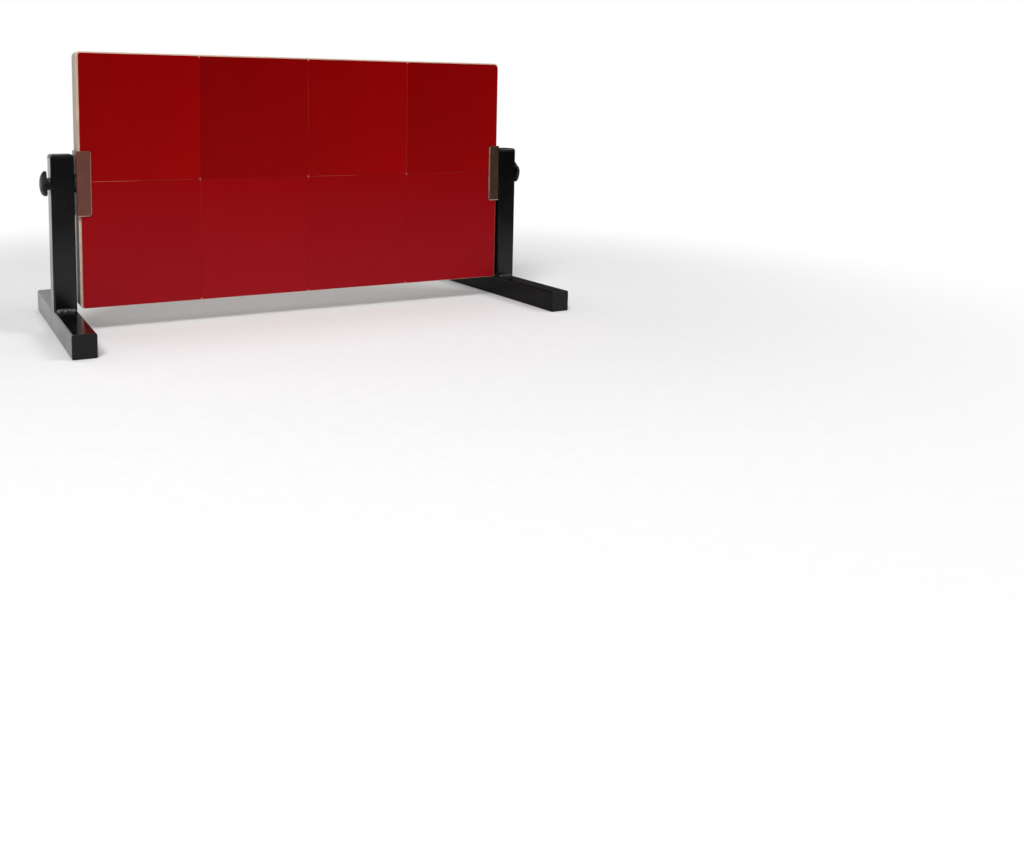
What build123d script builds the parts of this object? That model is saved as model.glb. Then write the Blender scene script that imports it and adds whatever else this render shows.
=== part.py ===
from build123d import *
import math
import os

# Table tennis rebound board: a wooden board faced with rubber sheets, which turns
# between two T-shaped tube stands and is clamped by a star knob on each side.
# Sizes are in millimetres. +X runs along the board to the right of someone facing the
# rubber, -Y is the side that the ball hits, and +Z is up. The origin lies on the table,
# midway between the two stands and straight below the tilt axis.

# Rubber facing
sheet_columns = 4
sheet_rows = 2
sheet_width = 160.0
sheet_height = 167.4
sheet_seam = 0.6
rubber_thickness = 2.0
sponge_thickness = 2.0
trimmed_corner_radius = 7.0

# Wooden board
side_margin = 3.2
top_margin = 2.1
bottom_margin = 1.3
board_thickness = 28.0
board_corner_radius = 6.0
board_edge_radius = 0.8
pivot_below_middle_seam = 2.5

# Edge clips, bent from sheet steel
clip_steel = 2.0
clip_height = 86.0
clip_flange = 18.5
clip_corner_radius = 4.0
clip_bend_radius = 0.6
clip_edge_radius = 0.6
clip_screw_spacing = 54.0
clip_screw_inset = 10.0

# Pan head screws that hold the clips to the back of the board
screw_radius = 2.0
screw_length = 16.0
screw_head_radius = 4.0
screw_head_height = 2.4
screw_point_length = 3.0

# Tube stands
tube_size = 30.0
tube_wall = 1.5
tube_corner_radius = 2.5
foot_length = 320.0
upright_above_pivot = 34.0
board_above_foot = 0.9
weld_leg = 3.4
weld_ripples = 7

# Plastic end caps
foot_cap_thickness = 3.0
foot_cap_edge_radius = 1.4
upright_cap_thickness = 5.0
upright_cap_edge_radius = 4.0
cap_plug_depth = 14.0
cap_plug_wall = 1.8
cap_rib_height = 1.2
cap_ribs = 3

# Pivot hardware
stud_radius = 4.0
stud_tip_chamfer = 0.8
stud_engagement = 18.0
stud_head_across_flats = 13.0
stud_head_height = 4.5
insert_radius = 6.0
insert_length = 20.0
insert_flange_radius = 7.5
insert_flange_thickness = 1.2
insert_hole_spare = 3.0
spacer_radius = 12.0
spacer_thickness = 2.4
washer_radius = 8.0
washer_thickness = 1.6

# Star knob
knob_radius = 17.0
knob_lobes = 5
knob_valley_radius = 12.3
knob_scallop_radius = 7.5
knob_lobe_rounding = 2.6
knob_hub_radius = 7.5
knob_hub_height = 1.6
knob_rim_height = 3.6
knob_dome_height = 4.6
knob_crown_radius = 7.0
knob_edge_radius = 0.8

# Clearances
running_gap = 0.1
stud_gap = 0.1
seat_gap = 0.05
plug_gap = 0.3
screw_hole_gap = 0.2

# Sizes that follow from the ones above
field_width = sheet_columns * sheet_width + (sheet_columns - 1) * sheet_seam
field_height = sheet_rows * sheet_height + (sheet_rows - 1) * sheet_seam
board_width = field_width + 2 * side_margin
board_height = field_height + top_margin + bottom_margin
facing_thickness = rubber_thickness + sponge_thickness
stack_thickness = board_thickness + facing_thickness

# Levels, from the table up
foot_top = tube_size
board_bottom = foot_top + board_above_foot
field_bottom = board_bottom + bottom_margin
pivot_height = field_bottom + field_height / 2 - pivot_below_middle_seam
upright_top = pivot_height + upright_above_pivot

# Depths, from the ball's side to the back
rubber_face = -stack_thickness / 2
board_face = rubber_face + facing_thickness
board_back = board_face + board_thickness

# Places along the tilt axis, from the middle outwards
board_side = board_width / 2
clip_side = board_side + clip_steel
tube_inner_side = clip_side + spacer_thickness + running_gap
tube_middle = tube_inner_side + tube_size / 2
tube_outer_side = tube_inner_side + tube_size
washer_side = tube_outer_side + running_gap
knob_seat = washer_side + washer_thickness + running_gap
stud_tip = board_side - stud_engagement

# How a piece made for the right side is turned so that its own +Z points outwards
outwards = Plane(origin=(0, 0, pivot_height), x_dir=(0, 0, 1), z_dir=(1, 0, 0))


def rod_along_axis(radius, inner_end, outer_end):
    """A round bar on the right half of the tilt axis."""
    bar = extrude(Circle(radius), amount=outer_end - inner_end)
    return outwards * Pos(0, 0, inner_end) * bar


def sheet_place(column, row):
    """Lower left corner of one rubber sheet, as seen from the ball's side."""
    left = -field_width / 2 + column * (sheet_width + sheet_seam)
    low = field_bottom + row * (sheet_height + sheet_seam)
    return left, low


def facing_layer(column, row, front, thickness):
    """One layer of one sheet. The top right sheet has its outer corner trimmed round."""
    left, low = sheet_place(column, row)
    middle = (left + sheet_width / 2, front + thickness / 2, low + sheet_height / 2)
    layer = Pos(*middle) * Box(sheet_width, thickness, sheet_height)
    if column == sheet_columns - 1 and row == sheet_rows - 1:
        corner = layer.edges().filter_by(Axis.Y).sort_by(Axis.X)[-2:].sort_by(Axis.Z)[-1]
        layer = fillet(corner, trimmed_corner_radius)
    return layer


def clip_screw_places():
    """Where the right clip's screws enter the back of the board."""
    across = board_side - clip_screw_inset
    half = clip_screw_spacing / 2
    return [(across, pivot_height - half), (across, pivot_height + half)]


def backing_board():
    """The board, with blind holes in its ends for the inserts and in its back for screws."""
    middle_height = board_bottom + board_height / 2
    slab = Pos(0, board_face + board_thickness / 2, middle_height) * Box(
        board_width, board_thickness, board_height
    )
    slab = fillet(slab.edges().filter_by(Axis.Y), board_corner_radius)
    rims = slab.faces().filter_by(Axis.Y).edges()
    slab = fillet(rims, board_edge_radius)
    insert_hole = rod_along_axis(
        insert_radius + seat_gap, board_side - insert_length - insert_hole_spare, board_side
    )
    insert_sink = rod_along_axis(
        insert_flange_radius + seat_gap, board_side - insert_flange_thickness, board_side
    )
    slab -= insert_hole + insert_sink
    slab -= mirror(insert_hole + insert_sink, Plane.YZ)
    for across, height in clip_screw_places():
        for side in (-1, 1):
            slab -= screw_shank(side * across, height, screw_radius + seat_gap)
    return slab


def screw_shank(across, height, radius):
    """A round shank that runs into the board's back and ends in a point."""
    depth = screw_length - clip_steel - screw_point_length
    mouth = Plane(origin=(across, board_back + clip_steel, height), x_dir=(1, 0, 0), z_dir=(0, -1, 0))
    straight = Cylinder(radius, clip_steel + depth, align=(Align.CENTER, Align.CENTER, Align.MIN))
    point = Pos(0, 0, clip_steel + depth) * Cone(
        radius, radius / 4, screw_point_length, align=(Align.CENTER, Align.CENTER, Align.MIN)
    )
    return mouth * (straight + point)


def clip_screw(across, height):
    """A pan head screw through the clip's rear flange."""
    seat = Plane(origin=(across, board_back + clip_steel, height), x_dir=(1, 0, 0), z_dir=(0, 1, 0))
    head = Cylinder(screw_head_radius, screw_head_height, align=(Align.CENTER, Align.CENTER, Align.MIN))
    crown = head.edges().filter_by(GeomType.CIRCLE).sort_by(Axis.Z)[-1]
    head = fillet(crown, screw_head_height * 0.6)
    slot_width = screw_radius * 0.5
    slot_length = screw_head_radius * 1.1
    slot_depth = screw_head_height * 0.6
    for turn in (0, 90):
        arm = Box(slot_length, slot_width, 2 * slot_depth)
        head -= Pos(0, 0, screw_head_height) * Rot(0, 0, turn) * arm
    return seat * head + screw_shank(across, height, screw_radius)


def edge_clip():
    """The right clip: a channel bent round the board's end, drilled for the stud and screws."""
    outer_depth = stack_thickness + 2 * clip_steel
    inner = clip_side - clip_flange
    middle = (inner + clip_side) / 2
    channel = Pos(middle, 0, pivot_height) * Box(clip_flange, outer_depth, clip_height)
    bends = channel.edges().filter_by(Axis.Z).sort_by(Axis.X)[-2:]
    channel = fillet(bends, clip_bend_radius + clip_steel)
    hollow_length = clip_flange - clip_steel
    hollow = Pos(inner + hollow_length / 2, 0, pivot_height) * Box(
        hollow_length, stack_thickness, clip_height
    )
    inner_bends = hollow.edges().filter_by(Axis.Z).sort_by(Axis.X)[-2:]
    channel -= fillet(inner_bends, clip_bend_radius)
    corners = channel.edges().filter_by(Axis.Y).group_by(Axis.X)[0]
    channel = fillet(corners, clip_corner_radius)
    flanges = channel.faces().filter_by(Axis.Y).sort_by(Axis.Y)
    free_ends = [flange.edges().sort_by(Axis.X)[0] for flange in (flanges[0], flanges[-1])]
    channel = fillet(free_ends, clip_edge_radius)
    channel -= rod_along_axis(stud_radius + stud_gap, board_side, clip_side)
    for across, height in clip_screw_places():
        rim = Plane(origin=(across, board_back, height), x_dir=(1, 0, 0), z_dir=(0, 1, 0))
        channel -= rim * Cylinder(
            screw_radius + screw_hole_gap, clip_steel, align=(Align.CENTER, Align.CENTER, Align.MIN)
        )
    return channel


def threaded_insert():
    """The flanged insert in the right end of the board, which the stud screws into."""
    body = rod_along_axis(insert_radius, board_side - insert_length, board_side)
    flange = rod_along_axis(
        insert_flange_radius, board_side - insert_flange_thickness, board_side
    )
    bore = rod_along_axis(stud_radius + stud_gap, board_side - insert_length, board_side)
    return body + flange - bore


def tube_profile():
    """The square tube's section."""
    inner_size = tube_size - 2 * tube_wall
    outer = RectangleRounded(tube_size, tube_size, tube_corner_radius)
    inner = RectangleRounded(inner_size, inner_size, tube_corner_radius - tube_wall)
    return outer - inner


def upright():
    """The right upright, drilled across for the stud."""
    post = Pos(tube_middle, 0, foot_top) * extrude(tube_profile(), amount=upright_top - foot_top)
    return post - rod_along_axis(stud_radius + stud_gap, tube_inner_side, tube_outer_side)


def foot():
    """The right foot, a tube that runs front to back with its ends capped."""
    tube_length = foot_length - 2 * foot_cap_thickness
    bar = extrude(Plane.XZ * tube_profile(), amount=tube_length / 2, both=True)
    return Pos(tube_middle, 0, foot_top - tube_size / 2) * bar


def end_cap(thickness, edge_radius):
    """A ribbed plug for a tube's end. Its flange lies on Z = 0 and points up."""
    flange = extrude(RectangleRounded(tube_size, tube_size, tube_corner_radius), amount=thickness)
    rim = flange.faces().sort_by(Axis.Z)[-1].edges()
    flange = fillet(rim, edge_radius)
    bore_size = tube_size - 2 * tube_wall
    plug_size = bore_size - 2 * (plug_gap + cap_rib_height)
    core = Rectangle(plug_size, plug_size) - Rectangle(
        plug_size - 2 * cap_plug_wall, plug_size - 2 * cap_plug_wall
    )
    plug = extrude(core, amount=-cap_plug_depth)
    rib_size = bore_size - 2 * plug_gap
    rib_outline = RectangleRounded(rib_size, rib_size, tube_corner_radius - tube_wall)
    rib_outline -= Rectangle(plug_size, plug_size)
    rib_pitch = cap_plug_depth / (cap_ribs + 1)
    for number in range(cap_ribs):
        depth = -(number + 1) * rib_pitch
        plug += Pos(0, 0, depth) * extrude(rib_outline, amount=cap_rib_height)
    return flange + plug


def upright_cap():
    """The domed cap in the top of the right upright."""
    return Pos(tube_middle, 0, upright_top) * end_cap(upright_cap_thickness, upright_cap_edge_radius)


def foot_cap(direction):
    """A cap in one end of the right foot. Direction is -1 at the front and 1 at the back."""
    tube_end = direction * (foot_length / 2 - foot_cap_thickness)
    seat = Plane(
        origin=(tube_middle, tube_end, foot_top - tube_size / 2),
        x_dir=(1, 0, 0),
        z_dir=(0, direction, 0),
    )
    return seat * end_cap(foot_cap_thickness, foot_cap_edge_radius)


def weld_bead(direction):
    """The rippled bead in the corner between the right foot and its upright."""
    corner_depth = direction * tube_size / 2
    flat_width = tube_size - 2 * tube_corner_radius
    pitch = (flat_width - 2 * weld_leg) / (weld_ripples - 1)
    ripples = [
        Pos(tube_middle + (number - (weld_ripples - 1) / 2) * pitch, corner_depth, foot_top)
        * Sphere(weld_leg)
        for number in range(weld_ripples)
    ]
    bead = ripples[0].fuse(*ripples[1:])
    room_middle = (tube_middle, corner_depth + direction * weld_leg, foot_top + weld_leg)
    room = Pos(*room_middle) * Box(flat_width, 2 * weld_leg, 2 * weld_leg)
    return bead & room


def welds():
    """Both beads of the right stand."""
    return Compound([weld_bead(-1), weld_bead(1)])


def friction_spacer():
    """The disc between the right clip and its upright."""
    disc = rod_along_axis(spacer_radius, clip_side, clip_side + spacer_thickness)
    return disc - rod_along_axis(stud_radius + stud_gap, clip_side, clip_side + spacer_thickness)


def knob_washer():
    """The flat washer under the right knob."""
    disc = rod_along_axis(washer_radius, washer_side, washer_side + washer_thickness)
    return disc - rod_along_axis(stud_radius + stud_gap, washer_side, washer_side + washer_thickness)


def stud_head(spare):
    """The hexagon that holds the stud in the moulded knob, larger all round by spare."""
    flats = stud_head_across_flats / 2 + spare
    outline = RegularPolygon(flats, 6, major_radius=False)
    return extrude(outline, amount=stud_head_height + spare)


def knob_stud():
    """The stud, from its head inside the right knob to its tip in the board's insert."""
    shank = rod_along_axis(stud_radius, stud_tip, knob_seat + knob_hub_height)
    tip = shank.edges().filter_by(GeomType.CIRCLE).sort_by(Axis.X)[0]
    shank = chamfer(tip, stud_tip_chamfer)
    head = outwards * Pos(0, 0, knob_seat + knob_hub_height) * stud_head(0)
    return shank + head


def star_outline():
    """The knob's lobes, as a disc with a round valley between each pair."""
    outline = Circle(knob_radius)
    valley_distance = knob_valley_radius + knob_scallop_radius
    for number in range(knob_lobes):
        turn = 360 * (number + 0.5) / knob_lobes
        outline -= Rot(0, 0, turn) * Pos(valley_distance, 0) * Circle(knob_scallop_radius)
    return fillet(outline.vertices(), knob_lobe_rounding)


def dome_profile():
    """Half of the knob's section: hub, flat underside, upright rim and domed top."""
    top = knob_hub_height + knob_rim_height + knob_dome_height
    rim_top = knob_hub_height + knob_rim_height
    with BuildSketch(Plane.XZ) as section:
        with BuildLine():
            Polyline(
                (0, knob_hub_height),
                (knob_radius, knob_hub_height),
                (knob_radius, rim_top),
            )
            ThreePointArc(
                (knob_radius, rim_top),
                (
                    (knob_radius + knob_crown_radius) / 2 + knob_dome_height / 6,
                    rim_top + knob_dome_height * 0.62,
                ),
                (knob_crown_radius, top),
            )
            Polyline((knob_crown_radius, top), (0, top), (0, knob_hub_height))
        make_face()
    return section.sketch


def star_knob():
    """The right knob: a star with a domed top on a round hub, moulded round the stud."""
    height = knob_rim_height + knob_dome_height
    star = Pos(0, 0, knob_hub_height) * extrude(star_outline(), amount=height)
    dome = revolve(dome_profile(), Axis.Z)
    head = star & dome
    head = fillet(head.edges().group_by(Axis.Z)[0], knob_edge_radius)
    hub = Cylinder(knob_hub_radius, knob_hub_height, align=(Align.CENTER, Align.CENTER, Align.MIN))
    grip = head + hub
    grip -= Pos(0, 0, knob_hub_height - seat_gap) * stud_head(seat_gap)
    grip -= Cylinder(
        stud_radius + seat_gap, knob_hub_height, align=(Align.CENTER, Align.CENTER, Align.MIN)
    )
    return outwards * Pos(0, 0, knob_seat) * grip


def save(shape, node):
    """Write one node."""
    export_step(shape, f"parts/{node}.step")


def save_pair(shape, node):
    """Write a piece made for the right side, and its mirror image for the left."""
    save(shape, f"right_{node}")
    save(mirror(shape, Plane.YZ), f"left_{node}")


def save_facing():
    """Write each sheet's rubber and the sponge behind it."""
    for row in range(sheet_rows):
        for column in range(sheet_columns):
            place = f"row{row + 1}_column{column + 1}"
            save(facing_layer(column, row, rubber_face, rubber_thickness), f"rubber_{place}")
            sponge_front = rubber_face + rubber_thickness
            save(facing_layer(column, row, sponge_front, sponge_thickness), f"sponge_{place}")


def save_clip_screws():
    """Write all the clip screws as one group."""
    screws = []
    for across, height in clip_screw_places():
        for side in (-1, 1):
            screws.append(clip_screw(side * across, height))
    save(Compound(screws), "clip_screws")


def main():
    os.makedirs("parts", exist_ok=True)
    save(backing_board(), "backing_board")
    save_facing()
    save_clip_screws()
    save_pair(edge_clip(), "edge_clip")
    save_pair(threaded_insert(), "threaded_insert")
    save_pair(friction_spacer(), "friction_spacer")
    save_pair(upright(), "upright")
    save_pair(upright_cap(), "upright_cap")
    save_pair(foot(), "foot")
    save_pair(foot_cap(-1), "foot_front_cap")
    save_pair(foot_cap(1), "foot_back_cap")
    save_pair(welds(), "weld_beads")
    save_pair(knob_washer(), "knob_washer")
    save_pair(knob_stud(), "knob_stud")
    save_pair(star_knob(), "star_knob")


main()
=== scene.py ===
import math

import bmesh
import bpy
from mathutils import Euler, Matrix, Vector


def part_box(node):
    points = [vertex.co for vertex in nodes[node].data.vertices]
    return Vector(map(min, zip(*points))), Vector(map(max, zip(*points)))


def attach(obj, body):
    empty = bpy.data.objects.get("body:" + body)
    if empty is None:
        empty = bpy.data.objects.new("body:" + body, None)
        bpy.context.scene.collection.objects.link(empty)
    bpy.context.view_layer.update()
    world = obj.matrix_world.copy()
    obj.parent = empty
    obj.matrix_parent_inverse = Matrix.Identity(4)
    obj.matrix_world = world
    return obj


# Table tennis rebound board. Everything here is in metres, in the frame of the packed
# model: +X along the board, -Y the side that the ball hits, +Z up. Colours are written
# as screen values from 0 to 255, for tone(). A noise's scale is about the number of its
# waves in a metre.

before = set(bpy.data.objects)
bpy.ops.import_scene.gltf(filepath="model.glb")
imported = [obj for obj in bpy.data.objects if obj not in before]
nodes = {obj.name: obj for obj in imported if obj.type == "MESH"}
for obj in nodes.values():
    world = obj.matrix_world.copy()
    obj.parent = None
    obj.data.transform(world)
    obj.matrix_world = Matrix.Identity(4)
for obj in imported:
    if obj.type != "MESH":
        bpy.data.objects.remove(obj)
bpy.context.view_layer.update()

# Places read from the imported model
field_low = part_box("rubber_row1_column1")[0]
field_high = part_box("rubber_row2_column4")[1]
sheet_low, sheet_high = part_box("rubber_row1_column1")
next_column_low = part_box("rubber_row1_column2")[0]
next_row_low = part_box("rubber_row2_column1")[0]
board_low, board_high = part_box("backing_board")
column_pitch = next_column_low.x - sheet_low.x
row_pitch = next_row_low.z - sheet_low.z
seam_width = next_column_low.x - sheet_high.x
rubber_face = sheet_low.y
board_face = board_low.y
columns = 4
rows = 2

# The red at the top and the bottom of a row's sheets, counted from the lower row; the paler
# reds lower down are a painted reflection of the floor
row_reds_with_painted_sheen = {1: ((144, 5, 10), (151, 19, 27)), 2: ((138, 1, 3), (147, 5, 7))}

# Sheets, by row and column, that are lighter or darker than the rest, and how light they are
# beside the rest
odd_sheets = {(1, 2): 1.04, (2, 2): 0.87, (2, 4): 0.95}

# How much lighter a row's sheets get from left to right
row_drift = {1: 0.0, 2: 0.12}

# Where a seam shows pale: its middle (across, up), half its length each way, and how much
pale_stretches = (
    ((-0.280, 0.200), (0.046, 0.004), 0.46),
    ((-0.205, 0.200), (0.050, 0.004), 0.08),
    ((0.044, 0.200), (0.044, 0.004), 0.22),
    ((0.240, 0.200), (0.036, 0.004), 0.10),
    ((0.1605, 0.284), (0.002, 0.110), 0.10),
    ((0.000, 0.300), (0.002, 0.046), 0.08),
    ((-0.1605, 0.150), (0.002, 0.070), 0.03),
    ((0.000, 0.200), (0.003, 0.003), 0.35),
    ((0.1605, 0.200), (0.003, 0.003), 0.35),
    ((-0.1605, 0.200), (0.003, 0.003), 0.30),
)

# Each clip's enamel, and the paler colour of its worn edges and painted edge highlights; the
# right one is a darker, painted shaded copy
clip_enamels_lit_and_shaded = {
    "left": ((104, 59, 47), (196, 148, 136)),
    "right": ((57, 37, 15), (214, 172, 160)),
}

# How strongly the painted glints on each side's weld beads show; the right side's faint ones
# make it a shaded copy
bead_glint_shares = {"left": 1.0, "right": 0.15}

# Towards the bright wall that dark paint mirrors, behind the object and to its left
wall_direction = (-0.5, 0.866, 0.0)

white = (1.0, 1.0, 1.0, 1.0)


# Node helpers


class Nodes:
    """A node tree, with one short method for each kind of node used below."""

    # Where the mix node has its colour sockets
    first_color, second_color, mixed_color = 6, 7, 2

    def __init__(self, tree, coordinates):
        self.tree = tree
        self.place = self.node("ShaderNodeTexCoord").outputs[coordinates]

    def node(self, kind, **settings):
        made = self.tree.nodes.new(kind)
        for key, value in settings.items():
            setattr(made, key, value)
        return made

    def link(self, source, target):
        self.tree.links.new(source, target)

    def feed(self, target, value):
        """Give a socket a constant or another node's output."""
        if isinstance(value, bpy.types.NodeSocket):
            self.link(value, target)
        else:
            target.default_value = value

    def noise(self, scale, detail=3.0, roughness=0.5, place=None, distortion=0.0):
        made = self.node("ShaderNodeTexNoise")
        self.link(place or self.place, made.inputs["Vector"])
        made.inputs["Scale"].default_value = scale
        made.inputs["Detail"].default_value = detail
        made.inputs["Roughness"].default_value = roughness
        made.inputs["Distortion"].default_value = distortion
        return made.outputs["Fac"]

    def grain(self, scales, detail, roughness=0.5, distortion=0.0):
        """Noise with its own scale along each axis."""
        mapping = self.node("ShaderNodeMapping")
        self.link(self.place, mapping.inputs["Vector"])
        mapping.inputs["Scale"].default_value = scales
        return self.noise(1.0, detail, roughness, mapping.outputs["Vector"], distortion)

    def cells(self, scale):
        """The distance to the nearest of many scattered points."""
        made = self.node("ShaderNodeTexVoronoi", feature="F1")
        self.link(self.place, made.inputs["Vector"])
        made.inputs["Scale"].default_value = scale
        return made.outputs["Distance"]

    def math(self, operation, first, second=0.0):
        made = self.node("ShaderNodeMath", operation=operation)
        self.feed(made.inputs[0], first)
        self.feed(made.inputs[1], second)
        return made.outputs["Value"]

    def add(self, first, second):
        return self.math("ADD", first, second)

    def subtract(self, first, second):
        return self.math("SUBTRACT", first, second)

    def multiply(self, first, second):
        return self.math("MULTIPLY", first, second)

    def larger(self, first, second):
        return self.math("MAXIMUM", first, second)

    def gap(self, value, middle):
        """How far a value is from a middle, on either side of it."""
        return self.math("ABSOLUTE", self.subtract(value, middle))

    def vary(self, least, share, amount):
        """A value that grows by up to the amount with the share."""
        return self.add(least, self.multiply(share, amount))

    def ramp(self, value, low, high, to_low=0.0, to_high=1.0):
        """Map a range of values smoothly to another, and hold the ends."""
        made = self.node("ShaderNodeMapRange", interpolation_type="SMOOTHSTEP")
        for name, given in (
            ("Value", value), ("From Min", low), ("From Max", high),
            ("To Min", to_low), ("To Max", to_high),
        ):
            self.feed(made.inputs[name], given)
        return made.outputs["Result"]

    def mix(self, share, first, second):
        """Mix two colours."""
        made = self.node("ShaderNodeMix", data_type="RGBA")
        self.feed(made.inputs["Factor"], share)
        self.feed(made.inputs[self.first_color], first)
        self.feed(made.inputs[self.second_color], second)
        return made.outputs[self.mixed_color]

    def axes(self, vector=None):
        """The three parts of a vector, or of the coordinates."""
        made = self.node("ShaderNodeSeparateXYZ")
        self.link(vector or self.place, made.inputs["Vector"])
        return made.outputs["X"], made.outputs["Y"], made.outputs["Z"]

    def towards(self, direction):
        """How far the coordinates lie along a direction."""
        made = self.node("ShaderNodeVectorMath", operation="DOT_PRODUCT")
        self.link(self.place, made.inputs[0])
        made.inputs[1].default_value = direction
        return made.outputs["Value"]

    def ray(self, kind):
        """One for one kind of light ray, and nothing for the others."""
        return self.node("ShaderNodeLightPath").outputs[kind]


class Shader(Nodes):
    """A material of one principled surface, in object coordinates."""

    def __init__(self, name):
        self.material = bpy.data.materials.new(name)
        self.material.use_nodes = True
        super().__init__(self.material.node_tree, "Object")
        self.surface = self.tree.nodes["Principled BSDF"]

    def edges(self, radius):
        """One along sharp edges, falling to nothing within the radius."""
        flat, sharp = 0.999, 0.86
        bevel = self.node("ShaderNodeBevel", samples=6)
        bevel.inputs["Radius"].default_value = radius
        face = self.node("ShaderNodeNewGeometry")
        across = self.node("ShaderNodeVectorMath", operation="DOT_PRODUCT")
        self.link(bevel.outputs["Normal"], across.inputs[0])
        self.link(face.outputs["Normal"], across.inputs[1])
        return self.ramp(across.outputs["Value"], flat, sharp)

    def bump(self, height, distance, strength):
        made = self.node("ShaderNodeBump")
        self.link(height, made.inputs["Height"])
        made.inputs["Distance"].default_value = distance
        made.inputs["Strength"].default_value = strength
        return made.outputs["Normal"]

    def finish(self, color, roughness, normal, metallic=0.0, specular=0.5):
        """Give the surface its colour, gloss and relief."""
        for name, value in (
            ("Base Color", color), ("Roughness", roughness), ("Normal", normal),
            ("Metallic", metallic), ("Specular IOR Level", specular),
        ):
            self.feed(self.surface.inputs[name], value)
        return self.material


def tone(red, green, blue):
    """A colour written in screen values from 0 to 255, as the linear colour of a node."""
    def linear(value):
        share = value / 255
        return share / 12.92 if share <= 0.04045 else ((share + 0.055) / 1.055) ** 2.4

    return (linear(red), linear(green), linear(blue), 1.0)


def scaled(color, factor):
    """A lighter or darker colour of the same hue."""
    return tuple(factor * part for part in color[:3]) + (1.0,)


# Materials


def rubber_finish(name, top_color, bottom_color, light, sideways):
    """Smooth red rubber: faint pips under the skin, a tone that drifts over the sheet, a
    painted floor reflection that pales it towards the bottom, and nicked corners, faintest
    where four sheets meet."""
    nick_outer, nick_inner = 0.0019, 0.0008
    nick_flatness = 0.40
    faint_within, plain_beyond, faintness = 0.02, 0.12, 0.14
    pip_pitch = 0.0021
    s = Shader(name)
    across, _, height = s.axes()

    from_left = s.subtract(across, field_low.x - seam_width / 2)
    from_bottom = s.subtract(height, field_low.z - seam_width / 2)
    along = s.math("DIVIDE", s.math("FLOORED_MODULO", from_left, column_pitch), column_pitch)
    up = s.math("DIVIDE", s.math("FLOORED_MODULO", from_bottom, row_pitch), row_pitch)
    clouds = s.ramp(s.noise(6.0, 3.0, 0.45), 0.25, 0.75, -0.03, 0.03)
    drift = s.multiply(s.subtract(along, 0.5), sideways)
    shade = s.node("ShaderNodeHueSaturation")
    # The red pales towards each sheet's bottom: a painted reflection of the floor
    s.link(s.mix(up, bottom_color, top_color), shade.inputs["Color"])
    s.link(s.add(s.add(drift, clouds), light), shade.inputs["Value"])

    side_gap = s.math("PINGPONG", from_left, column_pitch / 2)
    level_gap = s.math("PINGPONG", from_bottom, row_pitch / 2)
    corner_gap = s.add(side_gap, s.multiply(level_gap, nick_flatness))
    nick = s.ramp(corner_gap, nick_outer, nick_inner)
    from_middle = s.gap(height, next_row_low.z)
    nick = s.multiply(nick, s.ramp(from_middle, faint_within, plain_beyond, faintness, 1.0))
    base = s.mix(nick, shade.outputs["Color"], tone(236, 176, 156))

    turn = 2 * math.pi / pip_pitch
    wave_across = s.math("SINE", s.multiply(across, turn))
    wave_height = s.math("SINE", s.multiply(height, turn))
    pips = s.multiply(wave_across, wave_height)
    skin = s.noise(900.0, 3.0, 0.6)
    relief = s.add(s.multiply(pips, 0.25), s.multiply(skin, 0.5))
    normal = s.bump(relief, 0.00006, 0.5)
    roughness = s.vary(0.30, s.noise(14.0, 4.0, 0.6), 0.14)
    return s.finish(base, roughness, normal, specular=0.06)


def sponge_finish():
    """Open foam, pale apricot, full of fine pores."""
    s = Shader("sponge")
    pores = s.cells(1500.0)
    base = s.mix(s.ramp(pores, 0.15, 0.6), tone(176, 118, 78), tone(226, 176, 128))
    normal = s.bump(pores, 0.0003, 0.8)
    return s.finish(base, 0.95, normal, specular=0.2)


def seam_finish():
    """Red glue in the seams, painted lighter to cancel the shade down in the seam, with pale
    cut rubber showing along some stretches.
    """
    palest_part = 0.4
    s = Shader("seam_glue")
    across, _, height = s.axes()
    pale = 0.0
    for (middle_x, middle_z), (half_width, half_height), share in pale_stretches:
        beside = s.ramp(s.gap(across, middle_x), half_width, half_width * palest_part)
        level = s.ramp(s.gap(height, middle_z), half_height, half_height * palest_part)
        pale = s.larger(pale, s.multiply(s.multiply(beside, level), share))
    # Painted light: the glue's reds are lifted so that the shaded seam shows about as light
    # as the rubber
    glue = s.mix(s.noise(38.0, 4.0, 0.6), tone(138, 9, 13), tone(152, 17, 22))
    base = s.mix(pale, glue, tone(230, 150, 128))
    normal = s.bump(s.noise(800.0), 0.0002, 0.6)
    return s.finish(base, 0.6, normal, specular=0.1)


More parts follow.
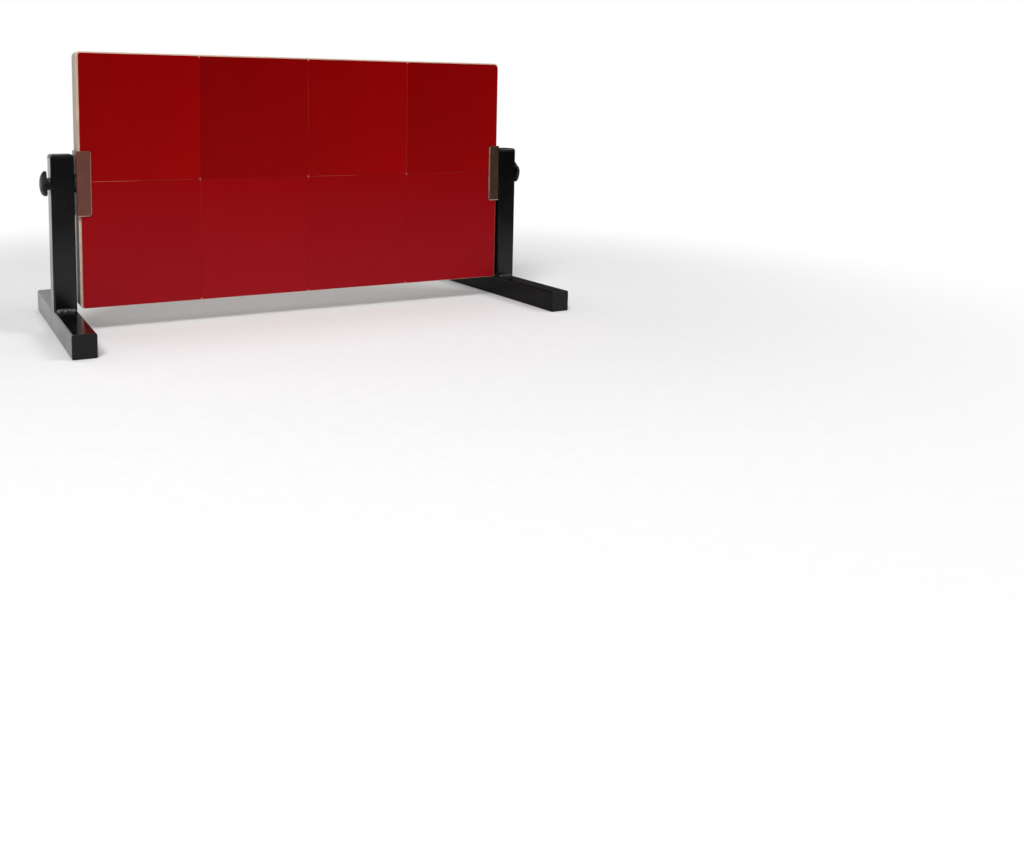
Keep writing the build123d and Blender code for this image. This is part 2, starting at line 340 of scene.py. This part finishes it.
def plywood_finish():
    """Sealed birch plywood: long grain on the faces, thin plies on the edges."""
    plies = 9
    glue_half, glue_core = 0.00022, 0.00006
    s = Shader("board_wood")
    _, depth, _ = s.axes()

    fine = s.grain((3.0, 60.0, 110.0), 6.0, 0.62, 0.6)
    rings = s.grain((0.9, 8.0, 15.0), 3.0, 0.5, 1.4)
    figure = s.add(s.multiply(fine, 0.55), s.multiply(rings, 0.45))
    face = s.mix(s.ramp(figure, 0.30, 0.72), tone(198, 176, 158), tone(226, 208, 192))
    pores = s.ramp(s.grain((40.0, 400.0, 900.0), 2.0), 0.62, 0.74)
    face = s.mix(s.multiply(pores, 0.25), face, tone(140, 108, 76))

    ply = (board_high.y - board_low.y) / plies
    from_face = s.subtract(depth, board_low.y)
    number = s.math("FLOOR", s.math("DIVIDE", from_face, ply))
    odd = s.math("FLOORED_MODULO", number, 2.0)
    fibres = s.grain((260.0, 700.0, 260.0), 4.0, 0.6)
    glue = s.ramp(s.math("PINGPONG", from_face, ply / 2), glue_half, glue_core)
    edge = s.mix(odd, tone(190, 176, 162), tone(166, 150, 138))
    edge = s.mix(s.multiply(fibres, 0.4), edge, tone(148, 128, 112))
    edge = s.mix(s.multiply(glue, 0.6), edge, tone(112, 90, 76))

    _, facing, _ = s.axes(s.node("ShaderNodeTexCoord").outputs["Normal"])
    on_face = s.ramp(s.math("ABSOLUTE", facing), 0.6, 0.8)
    base = s.mix(on_face, edge, face)
    normal = s.bump(figure, 0.00015, 0.5)
    return s.finish(base, s.vary(0.42, fine, 0.2), normal, specular=0.4)


def enamel_finish(name, color, wear_and_highlight_color, piece=None):
    """Stoved enamel on sheet steel, thin and paler along the edges, from wear and a painted
    highlight.

    Where the piece is given, its lower edge and its free side's edge are worn most and carry
    the painted highlight.
    """
    edge_wear = 0.0009
    side_outer, side_inner = 0.0015, 0.0006
    foot_outer, foot_inner = 0.0018, 0.0007
    s = Shader(name)
    mottle = s.ramp(s.noise(60.0, 4.0, 0.6), 0.3, 0.7)
    base = s.mix(mottle, scaled(color, 0.82), color)
    # Pale edges: wear, and a painted edge highlight
    rubbed = s.multiply(s.edges(edge_wear), s.ramp(s.noise(190.0), 0.3, 0.55))
    base = s.mix(rubbed, base, wear_and_highlight_color)
    if piece:
        across, _, height = s.axes()
        low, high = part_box(piece)
        free_side = high.x if high.x < 0 else low.x
        # The free side and the lower edge: wear, and a painted edge highlight
        side_wear_and_highlight = s.ramp(s.gap(across, free_side), side_outer, side_inner, 0.0, 0.42)
        foot_wear_and_highlight = s.ramp(s.subtract(height, low.z), foot_outer, foot_inner, 0.0, 0.95)
        patchy = s.ramp(s.noise(70.0, 2.0), 0.30, 0.50, 0.45, 1.0)
        base = s.mix(s.multiply(s.larger(side_wear_and_highlight, foot_wear_and_highlight), patchy), base, wear_and_highlight_color)
    scratches = s.ramp(s.grain((1400.0, 90.0, 70.0), 2.0), 0.66, 0.74)
    base = s.mix(s.multiply(scratches, 0.3), base, wear_and_highlight_color)
    normal = s.bump(s.noise(700.0), 0.00008, 0.5)
    return s.finish(base, s.vary(0.34, mottle, 0.12), normal)


def powder_coat_finish():
    """Semi-gloss black powder coat with a fine orange-peel skin."""
    edge_wear = 0.0012
    s = Shader("frame_paint")
    dull = s.ramp(s.noise(22.0, 4.0, 0.55), 0.35, 0.7)
    base = s.mix(dull, tone(10, 10, 11), tone(16, 16, 17))
    dust = s.ramp(s.noise(240.0, 3.0, 0.6), 0.66, 0.78)
    base = s.mix(s.multiply(dust, 0.05), base, tone(120, 116, 112))
    rubbed = s.multiply(s.edges(edge_wear), s.ramp(s.noise(120.0), 0.45, 0.7))
    base = s.mix(s.multiply(rubbed, 0.25), base, tone(88, 86, 84))
    normal = s.bump(s.noise(420.0, 2.0, 0.4), 0.00005, 0.2)
    return s.finish(base, s.vary(0.15, dull, 0.07), normal, specular=0.30)


def weld_finish(name, glint_share):
    """A weld bead under thin paint, with bright specks that are painted glints of light on
    its ripples.
    """
    s = Shader(name)
    # Painted glints: bright specks that stand for highlights on the bead, and shine like bare
    # metal
    painted_glints = s.ramp(s.cells(560.0), 0.46, 0.26, 0.0, glint_share)
    base = s.mix(painted_glints, tone(20, 20, 21), tone(190, 188, 184))
    normal = s.bump(s.noise(500.0, 4.0, 0.6), 0.0004, 0.7)
    roughness = s.subtract(0.55, s.multiply(painted_glints, 0.22))
    return s.finish(base, roughness, normal, metallic=s.multiply(painted_glints, 0.4))


def plastic_finish(name, color, grain_scale, least_roughness):
    """Black moulded plastic with a fine spark-eroded grain and scuffed edges."""
    edge_wear = 0.0010
    s = Shader(name)
    cloud = s.ramp(s.noise(90.0), 0.3, 0.7)
    base = s.mix(cloud, color, scaled(color, 1.5))
    scuffed = s.multiply(s.edges(edge_wear), s.ramp(s.noise(300.0), 0.42, 0.62))
    base = s.mix(s.multiply(scuffed, 0.30), base, tone(104, 102, 100))
    normal = s.bump(s.noise(grain_scale, 3.0, 0.6), 0.00012, 0.6)
    return s.finish(base, s.vary(least_roughness, cloud, 0.10), normal, specular=0.26)


def zinc_finish():
    """Zinc-plated steel: fine turning marks and a cloudy, slightly uneven lustre."""
    s = Shader("zinc_steel")
    cloud = s.ramp(s.noise(180.0, 4.0, 0.6), 0.3, 0.7)
    base = s.mix(cloud, tone(150, 150, 148), tone(196, 196, 192))
    normal = s.bump(s.grain((3000.0, 240.0, 240.0), 2.0), 0.00005, 0.4)
    return s.finish(base, s.vary(0.26, cloud, 0.16), normal, metallic=1.0)


def nylon_finish():
    """Dark nylon, faintly waxy, with rubbed patches."""
    s = Shader("nylon")
    rub = s.ramp(s.noise(260.0), 0.35, 0.65)
    base = s.mix(rub, tone(30, 30, 32), tone(44, 44, 46))
    normal = s.bump(s.noise(1500.0, 2.0), 0.00005, 0.5)
    return s.finish(base, s.vary(0.38, rub, 0.12), normal, specular=0.45)


def paint(material, *pieces):
    """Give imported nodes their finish."""
    for piece in pieces:
        mesh = nodes[piece].data
        mesh.materials.clear()
        mesh.materials.append(material)


def dress_sheets():
    """Each rubber sheet gets its own red, and the sponges share one foam."""
    sponge = sponge_finish()
    for row, reds in row_reds_with_painted_sheen.items():
        top, bottom = (tone(*red) for red in reds)
        for column in range(1, columns + 1):
            sheet = f"rubber_row{row}_column{column}"
            light = odd_sheets.get((row, column), 1.0)
            paint(rubber_finish(f"{sheet}_red", top, bottom, light, row_drift[row]), sheet)
            paint(sponge, f"sponge_row{row}_column{column}")


def dress_hardware():
    """Finishes for the board, the clips, the stands and the knobs."""
    powder_coat = powder_coat_finish()
    cap_plastic = plastic_finish("cap_plastic", tone(12, 12, 13), 1400.0, 0.30)
    knob_plastic = plastic_finish("knob_plastic", tone(13, 13, 14), 1800.0, 0.42)
    zinc = zinc_finish()
    black_steel = enamel_finish("black_steel", tone(26, 26, 27), tone(92, 90, 88))
    nylon = nylon_finish()
    caps = ("upright_cap", "foot_front_cap", "foot_back_cap")
    paint(plywood_finish(), "backing_board")
    paint(zinc, "clip_screws")
    for side in ("left", "right"):
        clip = f"{side}_edge_clip"
        enamel, edge_wear_and_highlight = (tone(*color) for color in clip_enamels_lit_and_shaded[side])
        paint(enamel_finish(f"{side}_clip_enamel", enamel, edge_wear_and_highlight, clip), clip)
        paint(weld_finish(f"{side}_weld", bead_glint_shares[side]), f"{side}_weld_beads")
        paint(powder_coat, f"{side}_upright", f"{side}_foot")
        paint(cap_plastic, *(f"{side}_{cap}" for cap in caps))
        paint(zinc, f"{side}_threaded_insert", f"{side}_knob_stud")
        paint(black_steel, f"{side}_knob_washer")
        paint(nylon, f"{side}_friction_spacer")
        paint(knob_plastic, f"{side}_star_knob")


# Pieces made here


def add_box(whole, low, high):
    """Add the box between two corners to a bmesh."""
    made = bmesh.ops.create_cube(whole, size=1.0)["verts"]
    bmesh.ops.scale(whole, vec=high - low, verts=made)
    bmesh.ops.translate(whole, vec=(low + high) / 2, verts=made)


def seam_lines():
    """The glue line in each seam between the sheets, a little below the rubber's face."""
    below_face = 0.00015

    # Room beside and behind the glue, so that it touches no sheet and no wood
    spare = seam_width * 0.04
    front, back = rubber_face + below_face, board_face - spare
    whole = bmesh.new()
    for column in range(1, columns):
        left = field_low.x + column * column_pitch - seam_width
        for row in range(rows):
            low = field_low.z + row * row_pitch
            add_box(
                whole,
                Vector((left + spare, front, low)),
                Vector((left + seam_width - spare, back, low + row_pitch - seam_width)),
            )
    for row in range(1, rows):
        low = field_low.z + row * row_pitch - seam_width
        add_box(
            whole,
            Vector((field_low.x, front, low + spare)),
            Vector((field_high.x, back, low + seam_width - spare)),
        )
    mesh = bpy.data.meshes.new("seam_lines")
    whole.to_mesh(mesh)
    whole.free()
    piece = bpy.data.objects.new("seam_lines", mesh)
    bpy.context.scene.collection.objects.link(piece)
    mesh.materials.append(seam_finish())
    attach(piece, "board")


# Stage, light and camera


def floor_finish():
    """A pale floor that fades to white further off.

    Dark paint mirrors it dim on the ball's side and beside the right foot, and bright
    towards the wall behind.
    """
    # Where each change starts and ends, away from the middle or towards the wall
    fade_start, fade_end = 0.5, 1.3
    dim_start, dim_end = 0.6, 1.6
    wall_start, wall_end = 0.3, 1.2
    ball_start, ball_end = 0.5, -0.2

    # The dim strip beside the right foot, and how far it goes in under the foot
    foot_reach, foot_core, foot_dimness = 0.25, 0.11, 0.7
    under_foot = 0.02
    foot_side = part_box("right_foot")[0].x

    s = Shader("floor")
    distance = s.node("ShaderNodeVectorMath", operation="LENGTH")
    s.link(s.place, distance.inputs[0])
    away = distance.outputs["Value"]
    behind = s.towards(wall_direction)
    across, _, _ = s.axes()
    seen = s.ray("Is Camera Ray")

    ball_side = s.multiply(
        s.ramp(away, dim_start, dim_end), s.ramp(behind, ball_start, ball_end))
    beside_foot = s.multiply(
        s.ramp(across, foot_side - foot_reach, foot_side - foot_core, 0.0, foot_dimness),
        s.ramp(across, foot_side + under_foot, foot_side),
    )
    dim = s.larger(ball_side, s.multiply(beside_foot, s.ray("Is Glossy Ray")))
    pale = s.mix(s.noise(60.0), tone(229, 229, 230), tone(235, 235, 236))
    unseen = s.mix(dim, pale, tone(60, 60, 62))
    s.link(s.mix(seen, unseen, pale), s.surface.inputs["Base Color"])
    s.surface.inputs["Roughness"].default_value = 0.85
    s.surface.inputs["Specular IOR Level"].default_value = 0.15

    far = s.ramp(away, fade_start, fade_end)
    far_behind = s.multiply(far, s.ramp(behind, wall_start, wall_end))
    light = s.node("ShaderNodeEmission")
    light.inputs["Color"].default_value = white
    fade = s.node("ShaderNodeMixShader")
    s.link(s.larger(s.multiply(far, seen), far_behind), fade.inputs["Fac"])
    s.link(s.surface.outputs["BSDF"], fade.inputs[1])
    s.link(light.outputs["Emission"], fade.inputs[2])
    s.link(fade.outputs["Shader"], s.tree.nodes["Material Output"].inputs["Surface"])
    return s.material


def plain_stage():
    """A wide floor, which keeps the object's shadow."""
    reach = 12.0
    corners = [(-reach, -reach, 0), (reach, -reach, 0), (reach, reach, 0), (-reach, reach, 0)]
    mesh = bpy.data.meshes.new("floor")
    mesh.from_pydata(corners, [], [(0, 1, 2, 3)])
    mesh.materials.append(floor_finish())
    floor = bpy.data.objects.new("floor", mesh)
    bpy.context.scene.collection.objects.link(floor)


def surroundings():
    """White wherever the camera looks, and otherwise dim with one bright wall."""
    # The cosines of the angles from the wall's middle to its edge and to its full light
    wall_edge, wall_core = 0.55, 0.90
    dim, bright = 0.05, 1.0
    world = bpy.data.worlds.new("studio")
    bpy.context.scene.world = world
    world.use_nodes = True
    background = world.node_tree.nodes["Background"]
    background.inputs["Color"].default_value = white
    w = Nodes(world.node_tree, "Generated")
    wall = w.ramp(w.towards(wall_direction), wall_edge, wall_core, dim, bright)
    w.link(w.larger(w.ray("Is Camera Ray"), wall), background.inputs["Strength"])


def softbox(name, place, aim, size, power):
    """One soft lamp, pointed at a place."""
    lamp = bpy.data.lights.new(name, "AREA")
    lamp.shape = "DISK"
    lamp.size = size
    lamp.energy = power
    holder = bpy.data.objects.new(name, lamp)
    holder.location = place
    holder.rotation_euler = (Vector(aim) - Vector(place)).to_track_quat("-Z", "Y").to_euler()
    holder.visible_camera = False
    bpy.context.scene.collection.objects.link(holder)


def lamps():
    """A key from the front left, a fill from the front right and a lamp overhead."""
    middle = (0.0, 0.0, 0.18)
    softbox("key", (-1.3, -1.7, 2.4), middle, 1.2, 67.0)
    softbox("fill", (1.7, -1.2, 2.2), middle, 1.4, 30.0)
    softbox("top", (0.0, 0.5, 2.6), middle, 1.6, 20.0)


def photo_camera():
    """The photograph's view: 1.3 m in front of the board, and half a metre to its left.

    The photograph is a part of a wider picture, so the view's middle is off its centre.
    """
    photo_width = 1024
    photo_height = 863
    view_middle = (358, 208)
    focal_pixels = 966.04
    sensor = 36.0
    eye = (-0.5278, -1.3105, 0.2932)
    pitch, roll, yaw = (math.radians(angle) for angle in (-5.686, 0.275, -25.134))
    camera = bpy.data.cameras.new("camera")
    camera.sensor_width = sensor
    camera.lens = focal_pixels / photo_width * sensor
    camera.shift_x = (photo_width / 2 - view_middle[0]) / photo_width
    camera.shift_y = (view_middle[1] - photo_height / 2) / photo_width
    camera.clip_start = 0.02
    camera.clip_end = 60.0
    holder = bpy.data.objects.new("camera", camera)
    holder.location = eye
    level = Euler((math.pi / 2 + pitch, 0.0, yaw)).to_matrix()
    holder.rotation_euler = (level @ Matrix.Rotation(roll, 3, "Z")).to_euler()
    bpy.context.scene.collection.objects.link(holder)
    bpy.context.scene.camera = holder


bpy.context.scene.view_settings.view_transform = "Standard"
dress_sheets()
dress_hardware()
seam_lines()
plain_stage()
surroundings()
lamps()
photo_camera()
